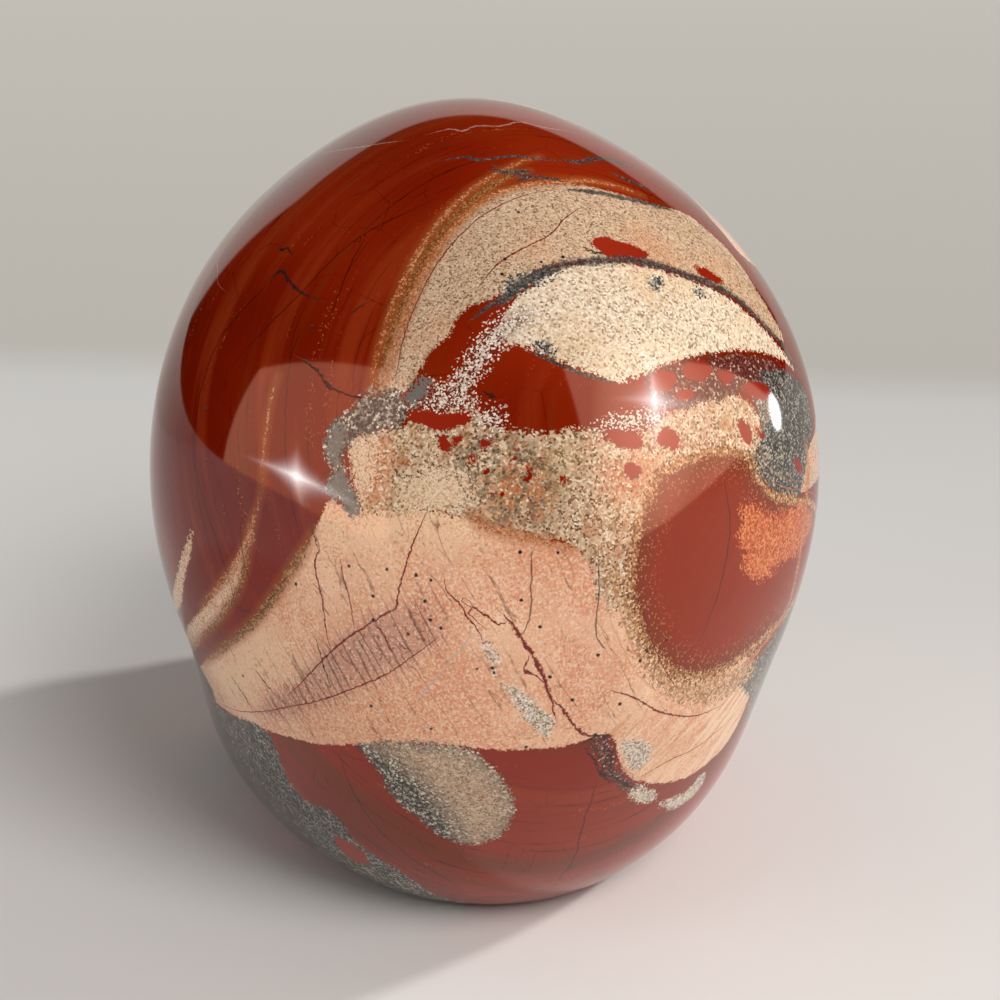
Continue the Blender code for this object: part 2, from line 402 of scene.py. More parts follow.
patches("ochre_stain", [
    [(486, 506), (496, 476), (516, 462), (544, 470), (552, 494), (536, 514), (508, 522)],
    [(370, 458), (380, 440), (392, 450), (390, 480), (378, 500), (368, 484)],
    [(600, 470), (640, 455), (660, 462), (648, 490), (630, 500), (606, 490)],
    [(640, 206), (668, 212), (690, 226), (684, 238), (656, 232), (640, 220)],
])
patches("pale_blob", [
    [(354, 445), (372, 445), (374, 463), (368, 487), (358, 499), (352, 482)],
    [(400, 500), (440, 470), (470, 490), (456, 508), (420, 512)],
])

# The pink fan is the smooth part of the stone: a pale chert, flecked with orange, that spreads over
# the lower back and runs out to the right in a lobe. A thin streak of it runs up the left side.
patches("pink_chert", [
    [(198, 680), (206, 660), (228, 644), (256, 620), (280, 588), (300, 558), (318, 524), (330, 500),
     (352, 508), (430, 510), (480, 522), (530, 534), (570, 546), (600, 560), (640, 560), (636, 590),
     (648, 633), (666, 660), (690, 674), (720, 668), (742, 656), (756, 668), (748, 700), (730, 738),
     (706, 764), (676, 781), (640, 781), (622, 768), (613, 738), (598, 737), (560, 747), (512, 750),
     (466, 747), (420, 743), (372, 744), (320, 744), (280, 734), (248, 723), (218, 704)],
], [
    [(92, -12), (74, -10), (58, -17), (43, -27), (26, -31), (8, -34), (-4, -41), (6, -46), (24, -46),
     (46, -45), (68, -39), (92, -30)],
    [(-70, 62), (-58, 56), (-46, 58), (-40, 68), (-52, 76), (-66, 74)],
])
patches("pale_chert", [
    [(316, 520), (340, 500), (420, 512), (490, 526), (470, 548), (420, 552), (360, 548), (326, 548)],
    [(620, 742), (650, 760), (690, 748), (730, 700), (750, 668), (756, 690), (728, 742), (676, 782),
     (630, 782)],
    [(200, 668), (240, 650), (290, 640), (270, 690), (226, 700)],
])
patches("mauve_chert", [
    [(262, 712), (290, 684), (340, 640), (396, 609), (432, 600), (440, 637), (399, 667), (354, 688),
     (300, 716)],
])
patches("orange_chert", [
    [(296, 706), (360, 690), (410, 664), (448, 640), (480, 668), (500, 744), (440, 748), (370, 744),
     (310, 738)],
    [(402, 556), (436, 576), (470, 600), (446, 640), (404, 620)],
    [(500, 540), (560, 548), (600, 580), (580, 600), (520, 580)],
])
patches("lobe", [
    [(596, 740), (620, 716), (668, 716), (716, 700), (745, 660), (760, 676), (730, 745), (684, 786),
     (630, 786)],
])
patches("streak", [
    [(250, 532), (236, 560), (220, 586), (200, 612), (186, 634), (186, 656), (196, 648), (206, 632),
     (222, 618), (234, 598), (242, 576), (246, 556), (253, 536)],
    [(192, 530), (182, 554), (176, 580), (172, 612), (180, 606), (184, 580), (190, 556)],
], [
    [(70, 26), (60, 34), (48, 38), (36, 36), (46, 42), (60, 40), (72, 32)],
])
patches("white_sand", [
    [(492, 668), (504, 683), (516, 687), (526, 694), (535, 701), (544, 714), (554, 718), (551, 731),
     (546, 738), (535, 730), (523, 718), (512, 699)],
    [(480, 632), (486, 640), (496, 652), (500, 662), (494, 664), (484, 650)],
    [(622, 742), (640, 740), (652, 748), (646, 762), (632, 770), (624, 756)],
    [(628, 790), (641, 785), (658, 796), (648, 803), (634, 801)],
    [(659, 803), (684, 793), (704, 772), (700, 788), (676, 808)],
], [
    [(-30, 66), (-14, 72), (4, 70), (-10, 78), (-26, 76)],
])

# Grey sand is the same sand with dark iron ore between its grains. It turns tan where the ore is thin.
patches("grey_sand", [
    [(196, 690), (232, 715), (262, 728), (275, 746), (288, 779), (306, 800), (333, 813), (358, 843),
     (399, 871), (430, 892), (470, 912), (380, 900), (290, 860), (220, 780)],
    [(360, 744), (379, 771), (391, 795), (415, 816), (442, 837), (474, 844), (502, 834), (514, 806),
     (505, 783), (487, 762), (466, 748), (420, 742)],
    [(750, 374), (769, 366), (790, 374), (806, 394), (812, 424), (808, 452), (798, 500), (782, 505),
     (768, 488), (750, 468), (758, 446), (763, 430), (756, 408)],
    [(796, 606), (800, 622), (782, 662), (762, 690), (746, 722), (750, 698), (742, 688), (748, 668),
     (764, 650), (778, 630)],
    [(366, 390), (352, 408), (334, 420), (327, 434), (324, 459), (334, 468), (322, 489), (338, 500),
     (350, 517), (363, 510), (354, 491), (343, 470), (345, 452), (356, 438), (378, 432), (402, 425),
     (406, 408), (400, 390), (386, 388)],
    [(536, 342), (545, 340), (556, 352), (552, 360), (540, 354)],
    [(506, 282), (526, 272), (548, 268), (560, 274), (536, 286), (516, 296), (500, 306)],
    [(650, 278), (658, 276), (664, 282), (660, 290), (652, 288)],
    [(694, 290), (702, 288), (706, 294), (700, 298)],
], [
    [(92, -34), (66, -42), (46, -48), (34, -54), (50, -60), (92, -52)],
    [(-112, -20), (-92, -24), (-68, -25), (-48, -34), (-36, -37), (-20, -44), (-36, -50), (-52, -44),
     (-70, -43), (-90, -37), (-112, -34)],
    [(-58, 50), (-44, 46), (-30, 50), (-24, 58), (-34, 60), (-50, 58)],
])
patches("tan_in_grey", [
    [(366, 740), (396, 762), (424, 786), (446, 816), (468, 848), (484, 848), (504, 836), (516, 806),
     (505, 783), (487, 762), (466, 746), (420, 740)],
])
patches("speckled", [
    [(530, 306), (504, 314), (482, 334), (464, 360), (452, 378), (438, 394), (452, 402), (470, 396),
     (480, 376), (496, 354), (518, 334), (534, 320)],
    [(432, 382), (450, 394), (470, 394), (477, 400), (466, 408), (440, 412), (405, 410), (410, 404),
     (430, 400)],
    [(590, 432), (612, 418), (640, 412), (668, 416), (650, 424), (620, 432)],
    [(478, 424), (486, 412), (498, 408), (504, 420), (494, 432)],
], [
    [(-22, 26), (-10, 24), (-2, 30), (-12, 38), (-24, 36)],
])
patches("dark_bed", [
    [(652, 376), (690, 360), (722, 355), (756, 356), (782, 366), (766, 372), (752, 384), (730, 396), (700, 404),
     (672, 411), (650, 398)],
    [(590, 738), (606, 736), (614, 752), (620, 770), (636, 786), (626, 791), (606, 776), (597, 757)],
], [
    [(-26, 40), (-18, 46), (-12, 42), (-18, 36)],
])
patches("smooth_grey", [
    [(331, 430), (343, 424), (344, 440), (340, 452), (334, 466), (327, 452)],
    [(326, 488), (341, 470), (350, 484), (357, 508), (349, 514), (341, 499)],
    [(412, 386), (420, 378), (431, 380), (428, 392), (420, 402), (408, 406), (404, 402)],
], [
    [(-50, -28), (-40, -30), (-34, -36), (-44, -38)],
])

# Red jasper lies in the sands again as the big oval at the right and as small torn islands.
patches("red_oval", [
    [(690, 465), (708, 457), (729, 455), (747, 463), (752, 474), (762, 490), (780, 503), (812, 508),
     (822, 530), (812, 570), (790, 606), (768, 630), (741, 654), (714, 669), (690, 672), (666, 660),
     (648, 633), (637, 602), (635, 575), (640, 539), (648, 510), (658, 485), (669, 473)],
], [
    [(42, 8), (54, 12), (64, 6), (66, -4), (56, -10), (44, -6)],
    [(-20, -30), (-8, -34), (-2, -40), (-12, -46), (-24, -42), (-28, -36)],
])
patches("oval_shade", [
    [(600, 560), (640, 600), (640, 640), (665, 664), (700, 680), (740, 664), (756, 648), (752, 676),
     (716, 700), (680, 700), (650, 676), (630, 640)],
])
patches("red_islands", [
    [(590, 242), (604, 236), (616, 241), (634, 246), (649, 254), (640, 260), (612, 259), (600, 251)],
    [(695, 265), (706, 269), (718, 276), (725, 284), (712, 281), (700, 275)],
    [(650, 380), (662, 371), (676, 375), (672, 388), (656, 391)],
    [(682, 366), (700, 360), (713, 368), (704, 381), (688, 378)],
    [(717, 374), (727, 369), (735, 377), (726, 386)],
    [(676, 392), (688, 388), (694, 396), (682, 401)],
    [(655, 440), (664, 428), (674, 430), (681, 444), (674, 452), (665, 447)],
    [(604, 432), (620, 430), (640, 436), (644, 446), (630, 450), (614, 444)],
    [(623, 464), (638, 464), (642, 472), (630, 480)],
    [(738, 422), (747, 421), (752, 436), (750, 446), (742, 438)],
    [(754, 424), (760, 430), (767, 440), (759, 436)],
    [(794, 457), (799, 460), (803, 472), (797, 470)],
    [(742, 386), (752, 381), (768, 386), (768, 399), (754, 397)],
    [(334, 836), (349, 842), (364, 853), (370, 864), (358, 863), (343, 853)],
    [(437, 440), (444, 434), (450, 444), (446, 454), (440, 450)],
    [(452, 438), (460, 436), (464, 442), (456, 446)],
    [(480, 442), (488, 440), (490, 446), (482, 450)],
    [(466, 460), (474, 454), (478, 458), (470, 466)],
    [(558, 478), (568, 476), (572, 482), (562, 484)],
    [(404, 416), (420, 410), (446, 414), (470, 412), (466, 424), (440, 430), (424, 426)],
], [
    [(-62, 30), (-54, 33), (-48, 30), (-54, 27)],
    [(-36, 30), (-30, 33), (-25, 29), (-31, 27)],
    [(8, 42), (14, 46), (22, 44), (16, 39)],
    [(-56, -8), (-48, -5), (-44, -10), (-50, -14)],
    [(-38, -20), (-33, -17), (-30, -22), (-35, -25)],
    [(60, -24), (52, -28), (46, -34), (56, -31)],
])
patches("orange_patch", [
    [(742, 508), (752, 503), (764, 511), (778, 517), (790, 508), (806, 505), (812, 520), (806, 540),
     (795, 554), (783, 562), (771, 574), (758, 580), (749, 574), (741, 566), (746, 552), (737, 540),
     (742, 524)],
], [
    [(-44, 6), (-34, 10), (-27, 4), (-34, -2), (-42, 0)],
])

# Lines in the stone: the arch's rusty rim, the dark seams, and healed cracks that later filled with
# red, black or white. Each has a width in millimetres and the points that the line runs through.
veins("rusty_line", [
    (0.5, [(369, 392), (378, 350), (393, 306), (410, 268), (432, 232), (457, 202), (484, 181), (514, 165),
           (540, 156)]),
    (0.7, [(384, 388), (395, 350), (411, 306), (437, 250), (473, 209), (501, 192), (530, 185), (560, 182),
           (590, 181), (616, 186), (644, 196)]),
    (0.10, [(278, 376), (268, 415), (263, 463), (261, 491), (256, 510)]),
    (0.7, [(258, 505), (250, 530), (240, 556), (222, 582), (200, 608)]),
    (0.7, [(806, 440), (808, 477), (804, 520), (798, 566), (788, 606), (762, 646), (744, 668)]),
    (0.5, [(470, 514), (482, 525), (510, 534), (540, 539), (570, 549)]),
], [
    (1.2, [(-94, 32), (-72, 41), (-50, 45), (-28, 40), (-10, 29), (2, 17), (4, 8)]),
    (0.6, [(10, 64), (26, 68), (44, 61), (61, 44), (74, 24), (80, 4)]),
    (0.8, [(-20, 48), (-8, 29), (14, 23), (34, 28), (46, 44)]),
    (0.8, [(94, -9), (74, -7), (56, -14), (40, -24)]),
])
veins("umber_line", [
    (0.9, [(376, 392), (386, 350), (402, 306), (424, 258), (452, 220), (480, 194), (504, 178), (530, 170)]),
    (1.1, [(204, 664), (226, 646), (254, 622), (278, 590), (298, 560), (314, 530)]),
    (0.7, [(252, 540), (247, 560), (242, 580), (232, 600), (218, 620), (204, 634), (192, 652)]),
])
veins("grey_line", [
    (1.5, [(470, 322), (484, 310), (500, 300), (514, 290), (526, 280), (548, 270), (575, 263), (616, 260),
           (645, 262), (670, 269), (695, 278), (720, 288), (744, 304), (764, 325), (784, 347), (800, 376),
           (808, 400)]),
    (1.2, [(567, 190), (593, 192), (628, 199), (654, 205), (676, 212)]),
    (0.7, [(440, 161), (465, 157), (480, 160), (514, 156), (539, 159), (565, 161)]),
    (1.4, [(560, 160), (580, 162), (600, 158), (620, 163), (640, 170)]),
    (0.9, [(491, 169), (506, 172), (534, 171)]),
    (0.9, [(514, 181), (534, 177), (565, 181)]),
    (1.0, [(610, 172), (632, 182), (656, 192)]),
    (0.5, [(640, 152), (660, 166), (676, 182), (684, 196)]),
    (0.5, [(528, 350), (556, 363), (588, 376), (618, 384)]),
], [
    (1.1, [(-18, 46), (-4, 33), (14, 28), (31, 33), (42, 46)]),
    (0.8, [(-80, 60), (-64, 52), (-48, 52), (-30, 60), (-12, 66), (10, 68)]),
    (0.6, [(30, -24), (18, -26), (4, -30), (-8, -38)]),
    (0.8, [(80, 26), (70, 34), (56, 46), (44, 52), (30, 62)]),
])
veins("pale_line", [
    (0.35, [(322, 154), (360, 147), (401, 141)]),
    (0.40, [(429, 134), (450, 129), (463, 131), (476, 126), (501, 126), (520, 122), (547, 128), (574, 132)]),
    (0.30, [(415, 704), (434, 680), (453, 658), (476, 630)]),
], [
    (0.5, [(-6, -48), (0, -36), (5, -24), (3, -12)]),
    (0.5, [(-80, 48), (-60, 46), (-40, 50), (-20, 44)]),
    (0.4, [(70, 70), (54, 52), (50, 30), (56, 18)]),
])
veins("red_crack", [
    (0.26, [(284, 699), (301, 683), (316, 667), (333, 650), (349, 637), (361, 629), (382, 616), (396, 608),
            (398, 595), (402, 578), (410, 552), (418, 531), (430, 504)]),
    (0.20, [(220, 703), (239, 711), (266, 711), (287, 707), (309, 703), (333, 696), (354, 688), (385, 675),
            (413, 656), (439, 637)]),
    (0.55, [(500, 612), (512, 624), (522, 640), (532, 654), (539, 668), (546, 684), (551, 700), (556, 720)]),
    (0.25, [(609, 690), (633, 697), (655, 710), (668, 714), (695, 716), (722, 705)]),
    (0.18, [(585, 205), (565, 218), (555, 230), (544, 238), (509, 256), (493, 269), (478, 289)]),
    (0.16, [(640, 777), (670, 760), (700, 745), (735, 714)]),
    (0.15, [(395, 384), (402, 345), (414, 309), (437, 264), (474, 222), (519, 197), (560, 189)]),
], [
    (0.4, [(90, -20), (70, -22), (54, -28), (36, -36), (16, -38)]),
    (0.3, [(-70, 68), (-58, 64), (-48, 66)]),
    (0.3, [(24, 60), (18, 50), (24, 40), (20, 30)]),
])
veins("red_branch", [
    (0.20, [(316, 537), (319, 549), (315, 562), (316, 574), (322, 599), (326, 630), (331, 650)]),
    (0.24, [(469, 602), (476, 609), (487, 616), (498, 624), (510, 622)]),
    (0.36, [(548, 696), (560, 706), (568, 716), (576, 728), (586, 735), (604, 735)]),
    (0.22, [(530, 655), (523, 671), (534, 674), (543, 683)]),
    (0.19, [(443, 578), (448, 593), (459, 603), (467, 617), (476, 627), (484, 642)]),
    (0.16, [(340, 560), (344, 580), (350, 600), (354, 626)]),
    (0.16, [(640, 600), (652, 640), (664, 668), (678, 690)]),
    (0.20, [(372, 622), (384, 634), (388, 646), (396, 656)]),
    (0.16, [(396, 640), (404, 648), (412, 652)]),
], [
    (0.3, [(58, -24), (54, -32), (46, -42)]),
    (0.3, [(30, -32), (26, -38), (18, -45)]),
])
veins("dark_crack", [
    (0.34, [(299, 358), (310, 364), (319, 373), (330, 387), (346, 394), (368, 399)]),
    (0.40, [(276, 246), (282, 250), (288, 248), (293, 256)]),
    (0.40, [(270, 281), (276, 273), (283, 271), (290, 283), (304, 293), (321, 301)]),
    (0.40, [(583, 247), (592, 252), (603, 253)]),
    (0.45, [(580, 744), (596, 736), (611, 736)]),
    (0.45, [(600, 742), (612, 756), (610, 772), (624, 784), (636, 788)]),
    (0.30, [(584, 750), (594, 758), (600, 774), (612, 782)]),
    (0.40, [(483, 393), (490, 395), (497, 398)]),
    (0.24, [(366, 303), (356, 309), (349, 316)]),
    (0.22, [(308, 520), (314, 536), (318, 548)]),
    (0.24, [(230, 675), (242, 692), (254, 712)]),
    (0.24, [(254, 668), (266, 684), (280, 700)]),
    (0.20, [(316, 640), (322, 660), (332, 690)]),
], [
    (0.4, [(-46, 62), (-34, 54), (-22, 56), (-10, 50), (2, 52), (14, 44), (30, 48)]),
    (0.4, [(58, 44), (48, 30), (44, 16), (48, 2), (44, -10)]),
    (0.35, [(-30, 14), (-40, 18), (-52, 12), (-64, 14)]),
    (0.35, [(-64, -30), (-54, -34), (-50, -42), (-38, -50)]),
])
veins("fine_seam", [
    (0.30, [(253, 225), (232, 252), (213, 281), (196, 310), (184, 336), (174, 364), (165, 410), (160, 450),
            (158, 484)]),
    (0.20, [(294, 259), (262, 290), (236, 318), (218, 342), (204, 378), (196, 420), (195, 460), (204, 502),
            (218, 545), (232, 590), (244, 640)]),
    (0.18, [(432, 200), (404, 214), (378, 226), (340, 252), (304, 290), (264, 330), (232, 366)]),
    (0.18, [(366, 236), (352, 262), (340, 290), (330, 320)]),
    (0.20, [(300, 330), (290, 362), (286, 400), (285, 440), (290, 490), (300, 540)]),
    (0.20, [(240, 520), (244, 560), (252, 590)]),
    (0.25, [(598, 779), (590, 804), (583, 823), (578, 846), (571, 864), (558, 881), (550, 892)]),
    (0.20, [(531, 550), (531, 585), (530, 617), (522, 638)]),
    (0.20, [(598, 550), (599, 585), (596, 633), (609, 654)]),
    (0.20, [(700, 640), (716, 600), (726, 560), (730, 520), (724, 480)]),
    (0.20, [(340, 756), (352, 790), (376, 826), (412, 858), (460, 886)]),
], [
    (0.25, [(80, 60), (66, 44), (62, 22), (70, 2), (80, -6)]),
    (0.25, [(20, 20), (30, 18), (42, 20), (56, 16)]),
    (0.25, [(-2, 66), (-4, 44), (-2, 26), (-5, 16)]),
])

# Black spots of ore, each the pixel it lies at, and a few on the face in millimetres of its chart.
SPOT_RADIUS = 0.16
DARK_SPOTS = [
    (349, 566), (387, 569), (296, 584), (373, 596), (373, 620), (408, 634), (416, 575), (371, 706),
    (243, 676), (520, 552), (558, 553), (431, 580), (425, 601), (430, 620), (435, 627), (441, 628),
    (540, 627), (598, 655), (550, 677), (494, 673), (492, 668), (477, 669), (431, 729), (526, 747),
    (521, 600), (312, 327), (206, 408), (518, 212), (505, 259), (502, 274), (563, 257), (541, 262),
    (620, 704), (572, 700), (647, 651), (640, 661), (666, 640),
]
FACE_SPOTS = [(30, -35), (44, -38), (60, -30), (74, -24), (20, -42), (-54, 66), (12, 52), (-40, 33), (70, 46)]
SPOTS_APART = 3.2
SPOT_SURROUNDINGS = 1.4
spot_layers = ([], [], [])
for centre, spots in [(c, back_spots) for c in on_back(DARK_SPOTS)] + [(np.array(c), face_spots) for c in FACE_SPOTS]:
    for layer in spot_layers:
        if all(np.linalg.norm(centre - other) > SPOTS_APART for other, chart_used in layer if chart_used is spots):
            layer.append((centre, spots))
            break


def store_places(name, places_kept):
    """Keeps three numbers for each point of the stone."""
    layer = stone.verts.layers.float_vector.new(name)
    for v, place_kept in zip(stone.verts, places_kept):
        v[layer] = place_kept


for number, spot_layer in enumerate(spot_layers):
    offsets = np.full((len(places), 3), FAR_AWAY)
    for centre, spots in spot_layer:
        close = np.linalg.norm(spots - centre, axis=1) < SPOT_SURROUNDINGS
        offsets[close] = np.column_stack((spots[close] - centre, np.zeros(close.sum())))
    store_places(f"spots_{number}", offsets)
store_places("chart", np.column_stack((back_spots, np.zeros(len(places)))))

base = [f for f in stone.faces if all(v.co.z == 0.0 for v in f.verts)]
bmesh.ops.dissolve_faces(stone, faces=base, use_verts=True)
bmesh.ops.scale(stone, verts=stone.verts, vec=(MM, MM, MM))
skull_mesh = bpy.data.meshes.new("polished_skull")
stone.to_mesh(skull_mesh)
stone.free()
skull_mesh.shade_smooth()
polished_skull = bpy.data.objects.new("polished_skull", skull_mesh)
bpy.context.scene.collection.objects.link(polished_skull)
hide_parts("skull")
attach(polished_skull, "root")

# The stone's material. Every marking is a layer over the red, cut out by its stored distance, with an
# edge as ragged as the sand grains beside it.


def srgb(red, green, blue):
    """A colour as it is picked on a screen, 0 to 255, in the linear light that Blender mixes."""
    shares = (c / 255 for c in (red, green, blue))
    return (*((c / 12.92 if c <= 0.04045 else ((c + 0.055) / 1.055) ** 2.4) for c in shares), 1.0)


def add_node(tree, kind, inputs=None, **settings):
    """Adds a node. Each input is given a value, or the output that it is fed from."""
    new = tree.nodes.new(kind)
    for name, value in settings.items():
        setattr(new, name, value)
    for name, value in (inputs or {}).items():
        if isinstance(value, bpy.types.NodeSocket):
            tree.links.new(value, new.inputs[name])
        else:
            new.inputs[name].default_value = value
    return new


def maths(tree, operation, *values, clamp=False):
    """One sum on numbers or outputs."""
    return add_node(tree, "ShaderNodeMath", dict(enumerate(values)), operation=operation,
                    use_clamp=clamp).outputs[0]


def vector_sum(tree, operation, *vectors):
    """One sum on vectors."""
    return add_node(tree, "ShaderNodeVectorMath", dict(enumerate(vectors)), operation=operation).outputs


def new_group(name, inputs, outputs):
    """An empty shader group with named inputs, each with its usual value, and named outputs."""
    group = bpy.data.node_groups.new(name, "ShaderNodeTree")
    for label, value in inputs.items():
        kind = "NodeSocketVector" if value is None else "NodeSocketFloat"
        socket = group.interface.new_socket(label, in_out="INPUT", socket_type=kind)
        if value is not None:
            socket.default_value = value
    for label in outputs:
        group.interface.new_socket(label, in_out="OUTPUT", socket_type="NodeSocketFloat")
    return group, group.nodes.new("NodeGroupInput").outputs, group.nodes.new("NodeGroupOutput").inputs


# The edge of a patch of sand: it follows whole grains, by one pick of each grain, and wanders a little.
sand_edge, given, result = new_group(
    "sand_edge", {"Distance": 0.0, "Grain": 0.5, "Drift": 0.5, "Raggedness": 0.5, "Wander": 0.5}, ("Mask",)
)
by_grain = maths(sand_edge, "MULTIPLY", maths(sand_edge, "SUBTRACT", given["Grain"], 0.5), given["Raggedness"])
by_drift = maths(sand_edge, "MULTIPLY", maths(sand_edge, "SUBTRACT", given["Drift"], 0.5), given["Wander"])
edge = maths(sand_edge, "ADD", given["Distance"], maths(sand_edge, "ADD", by_grain, by_drift))
sand_edge.links.new(maths(sand_edge, "MULTIPLY_ADD", edge, 9.0, 0.5, clamp=True), result["Mask"])

# Seams and healed cracks: a line that is shaken a little to each side, and thins out at its ends.
stone_line, given, result = new_group(
    "stone_line", {"Side": 9.0, "Reach": 9.0, "Shake": 0.5, "Waver": 0.8}, ("Mask",)
)
shaken = maths(stone_line, "MULTIPLY_ADD", maths(stone_line, "SUBTRACT", given["Shake"], 0.5),
               given["Waver"], given["Side"])
across = maths(stone_line, "SUBTRACT", 1.0, maths(stone_line, "ABSOLUTE", shaken))
close = maths(stone_line, "MULTIPLY_ADD", given["Reach"], -2.5, 2.0, clamp=True)
stone_line.links.new(
    maths(stone_line, "MULTIPLY", maths(stone_line, "MULTIPLY", across, 1.6, clamp=True), close),
    result["Mask"],
)

# Thin cracks side by side: each runs along the lines of the place it is given, and breaks off here and
# there.
hatching, given, result = new_group("hatching", {"Lines": None, "Apart": 3.0, "Width": 0.12, "Breaks": 4.3}, ("Mask",))
over_lines = add_node(hatching, "ShaderNodeSeparateXYZ", {"Vector": given["Lines"]}).outputs["X"]
drift, gaps = (
    add_node(hatching, "ShaderNodeTexNoise", {"Vector": given["Lines"], "Scale": scale, "Detail": detail,
                                              "Roughness": 0.6}).outputs["Fac"]
    for scale, detail in ((0.35, 4.0), (0.9, 2.0))
)
turns = maths(hatching, "ADD", maths(hatching, "DIVIDE", over_lines, given["Apart"]),
              maths(hatching, "MULTIPLY", drift, 2.4))
from_line = maths(hatching, "ABSOLUTE", maths(hatching, "SUBTRACT", maths(hatching, "FRACT", turns), 0.5))
by_width = maths(hatching, "DIVIDE", maths(hatching, "MULTIPLY", from_line, given["Apart"]), given["Width"])
thin = maths(hatching, "SUBTRACT", 1.0, by_width, clamp=True)
kept = maths(hatching, "SUBTRACT", maths(hatching, "MULTIPLY", gaps, 9.0), given["Breaks"], clamp=True)
hatching.links.new(maths(hatching, "MULTIPLY", thin, kept), result["Mask"])

jasper = bpy.data.materials.new("red_jasper_polished")
jasper.use_nodes = True
tree = jasper.node_tree
shader = tree.nodes["Principled BSDF"]
place = add_node(tree, "ShaderNodeVectorMath",
                 {0: add_node(tree, "ShaderNodeTexCoord").outputs["Object"], "Scale": 1 / MM},
                 operation="SCALE").outputs[0]


def stored(name, kind="Fac"):
    """A number, or a vector, that the mesh keeps for each of its points."""
    return add_node(tree, "ShaderNodeAttribute", attribute_name=name, attribute_type="GEOMETRY").outputs[kind]


def cloud(scale, detail=3.0, distortion=0.0, laid=None):
    """Soft noise from 0 to 1, over the stone or over another place. scale is in turns a millimetre."""
    return add_node(tree, "ShaderNodeTexNoise",
                    {"Vector": laid or place, "Scale": scale, "Detail": detail, "Roughness": 0.55,
                     "Distortion": distortion}).outputs["Fac"]


def turned(rise, press):
    """The chart turned until x runs across lines that rise at an angle, and pressed along them."""
    rise = math.radians(rise)
    spot = stored("chart", "Vector")
    across = vector_sum(tree, "DOT_PRODUCT", spot, (-math.sin(rise), math.cos(rise), 0.0))["Value"]
    along = vector_sum(tree, "DOT_PRODUCT", spot, (math.cos(rise), math.sin(rise), 0.0))["Value"]
    return add_node(tree, "ShaderNodeCombineXYZ", {0: across, 1: maths(tree, "MULTIPLY", along, press)}).outputs[0]


def ramp(value, *stops):
    """Colours along a value. Each stop is where it lies and its red, green and blue on a screen."""
    made = add_node(tree, "ShaderNodeValToRGB", {"Fac": value})
    elements = made.color_ramp.elements
    while len(elements) < len(stops):
        elements.new(1.0)
    for element, (position, *colour) in zip(elements, stops):
        element.position = position
        element.color = srgb(*colour)
    return made.outputs["Color"]


def step(value, low, high):
    """0 at low, 1 at high, and even between."""
    return add_node(tree, "ShaderNodeMapRange", {"Value": value, "From Min": low, "From Max": high}).outputs[0]


def share(mask, amount):
    """A mask made weaker."""
    return maths(tree, "MULTIPLY", mask, amount)


def over(under, top, mask):
    """One colour laid over another where the mask is 1. A plain top is red, green and blue on a screen."""
    if isinstance(top, tuple):
        top = srgb(*top)
    return add_node(tree, "ShaderNodeMix", {"Factor": mask, 6: under, 7: top}, data_type="RGBA").outputs[2]


# Two kinds of grain serve all the sands, and a few soft noises serve all the edges and lines.
FINE_GRAIN = 0.20
COARSE_GRAIN = 0.26


def grain_picks(size):
    """Three numbers from 0 to 1 for each grain of one size, the same all over the grain."""
    cells = add_node(tree, "ShaderNodeTexVoronoi", {"Vector": place, "Scale": 1.0 / size})
    return add_node(tree, "ShaderNodeSeparateColor", {"Color": cells.outputs["Color"]}).outputs


fine = grain_picks(FINE_GRAIN)
coarse = grain_picks(COARSE_GRAIN)
drift = cloud(0.9, 3.0)
slow_shake = cloud(0.6, 3.0)
shake = cloud(1.8, 4.0)
grit = cloud(3.2, 4.0)


def grains(picks, distance, raggedness, wander=0.5):
    """The mask of a patch of sand."""
    return add_node(tree, "ShaderNodeGroup",
                    {"Distance": distance, "Grain": picks[2], "Drift": drift, "Raggedness": raggedness,
                     "Wander": wander}, node_tree=sand_edge).outputs["Mask"]


def line(name, waver, shaking):
    """The mask of one kind of line."""
    return add_node(tree, "ShaderNodeGroup",
                    {"Side": stored(name + "_side"), "Reach": stored(name + "_reach"), "Shake": shaking,
                     "Waver": waver}, node_tree=stone_line).outputs["Mask"]


def hatched(lines, apart, width, breaks=4.3):
    """The mask of thin cracks side by side."""
    return add_node(tree, "ShaderNodeGroup", {"Lines": lines, "Apart": apart, "Width": width, "Breaks": breaks},
                    node_tree=hatching).outputs["Mask"]


# The red itself: dark red chert, brown and see-through in some beds, with rusty dots strung along them
# and fine dark seams between. Low down it is a lighter, orange red.
place_parts = add_node(tree, "ShaderNodeSeparateXYZ", {"Vector": place}).outputs
strands = add_node(tree, "ShaderNodeCombineXYZ",
                   {0: stored("beds"), 1: share(place_parts[2], 0.08), 2: share(place_parts[0], 0.08)}).outputs[0]
depth = cloud(0.035, 1.0)
patchy = cloud(0.1, 3.0)
mottle = cloud(0.5, 3.0)
colour = ramp(depth, (0.35, 112, 20, 1), (0.5, 126, 26, 3), (0.68, 140, 36, 8))
colour = over(colour, (152, 50, 22), share(step(place_parts[2], 44.0, 8.0), 0.7))
# Painted shadow: low down on the plus-X side, where the shade falls, the red is painted darker.
low_side_painted_shadow = maths(tree, "MULTIPLY", step(place_parts[2], 30.0, 16.0), step(place_parts[0], 6.0, 22.0))
colour = over(colour, (84, 28, 12), share(low_side_painted_shadow, 0.6))
beds = cloud(0.16, 4.0, laid=strands)
colour = over(colour, (110, 46, 12), share(step(beds, 0.52, 0.64), 0.75))
colour = over(colour, (150, 54, 22), share(step(beds, 0.45, 0.36), 0.55))
string = step(cloud(0.7, 2.0, laid=strands), 0.56, 0.66)
dust = maths(tree, "MULTIPLY", string, maths(tree, "GREATER_THAN", fine[0], 0.9))
dust = maths(tree, "MULTIPLY", dust, step(patchy, 0.42, 0.6))
colour = over(colour, (196, 112, 54), share(dust, 0.5))
